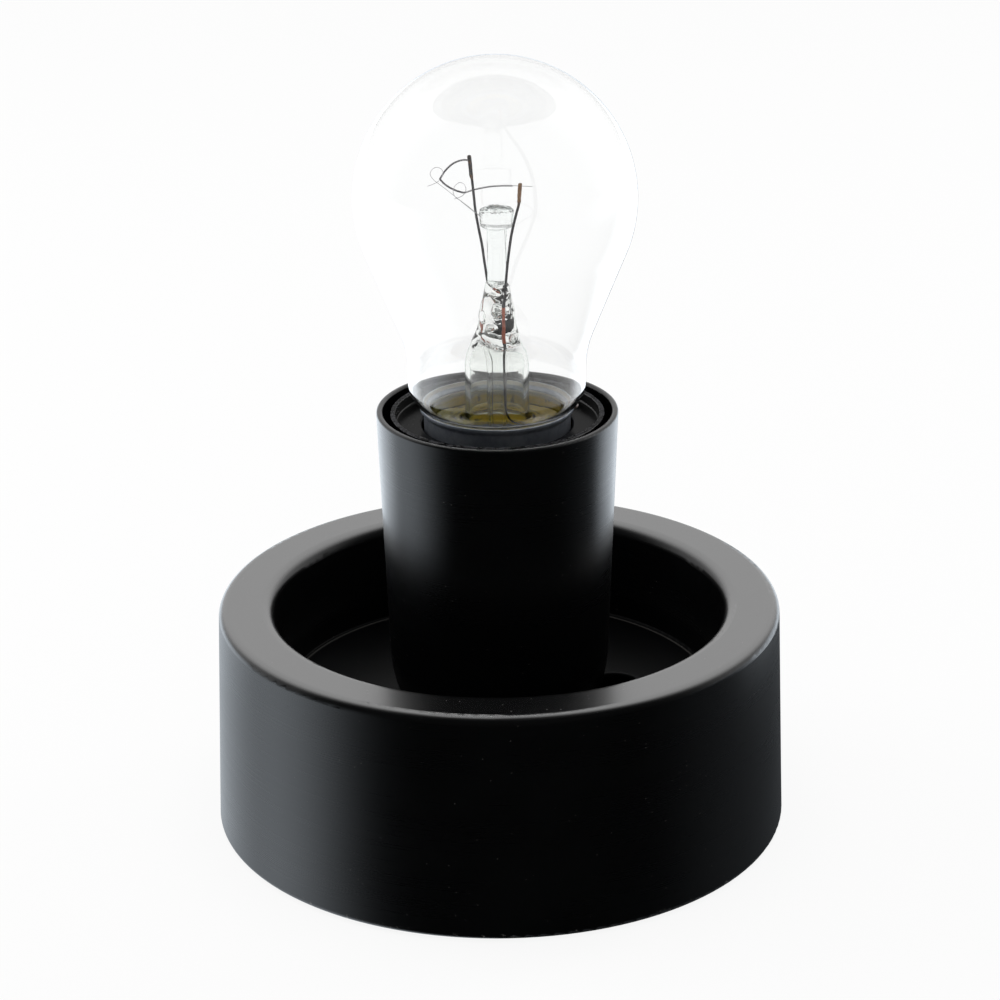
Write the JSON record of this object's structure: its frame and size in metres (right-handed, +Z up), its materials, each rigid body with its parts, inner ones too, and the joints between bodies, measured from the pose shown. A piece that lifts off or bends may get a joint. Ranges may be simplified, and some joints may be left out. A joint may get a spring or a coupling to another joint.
{
  "type": "table lamp",
  "caption": "Table lamp with a heavy round bowl base, a tapered black cup around the lamp holder, and a clear filament bulb that screws out upwards.",
  "frame": {"origin": "on the table, under the middle of the base", "axes": "+Z up along the axis of cup and bulb; -Y faces the camera of the picture and +Y has the cord inlet"},
  "size_m": [0.1076, 0.1076, 0.1466],
  "materials": {
    "black_lacquer": "matte black lacquer over turned metal",
    "zinc_steel": "zinc-plated steel",
    "black_rubber": "matte black rubber",
    "black_phenolic": "glossy black moulded phenolic",
    "white_nylon": "moulded nylon",
    "brass": "plain brass",
    "brown_insulation": "extruded plastic insulation",
    "blue_insulation": "extruded plastic insulation",
    "earth_insulation": "green insulation with a yellow stripe",
    "clear_glass": "clear blown glass",
    "cap_aluminium": "dull rolled aluminium",
    "black_glass": "moulded black glass",
    "solder": "soft solder",
    "cement": "olive-brown basing cement",
    "nickel_wire": "dull nickel wire",
    "copper_wire": "copper wire",
    "tungsten": "drawn tungsten and molybdenum wire"
  },
  "bodies": {
    "lamp": {"base_bowl": "black_lacquer", "socket_cup": "black_lacquer", "base_plate": "zinc_steel", "base_plate_screws": "zinc_steel", "cord_clamp_screws": "zinc_steel", "threaded_tube": "zinc_steel", "floor_washer": "zinc_steel", "tube_nut": "zinc_steel", "terminal_block_screws": "zinc_steel", "holder_terminal_screws": "zinc_steel", "foot_ring": "black_rubber", "cord_bush": "black_rubber", "holder_dome": "black_phenolic", "holder_insert": "black_phenolic", "holder_skirt": "black_phenolic", "terminal_block": "white_nylon", "cord_clamp": "white_nylon", "terminal_block_tubes": "brass", "earth_tag": "brass", "holder_screw_shell": "brass", "holder_centre_contact": "brass", "holder_shell_contact": "brass", "holder_terminals": "brass", "live_wire": "brown_insulation", "neutral_wire": "blue_insulation", "earth_wire": "earth_insulation"},
    "bulb_carrier": {"cap_contact": "brass"},
    "bulb": {"bulb_glass": "clear_glass", "stem_flare": "clear_glass", "exhaust_tube": "clear_glass", "arbor_rod": "clear_glass", "left_lead": "nickel_wire", "right_lead": "nickel_wire", "seal_wires": "copper_wire", "side_lead": "copper_wire", "centre_lead": "copper_wire", "filament": "tungsten", "filament_supports": "tungsten", "cap_shell": "cap_aluminium", "cap_insulator": "black_glass", "cap_side_solder": "solder", "basing_cement": "cement"}
  },
  "joints": [
    {"name": "bulb_rise", "type": "slide", "parent": "lamp", "child": "bulb_carrier", "axis": [0, 0, 1], "range_m": [0, 0.01452]},
    {"name": "bulb_turn", "type": "hinge", "parent": "bulb_carrier", "child": "bulb", "pos_m": [0, 0, 0.07], "axis": [0, 0, 1], "range_deg": [0, 1441]}
  ],
  "couplings": [
    {"joint": "bulb_turn", "follows": "bulb_rise", "rad_per_m": 1731.4}
  ]
}
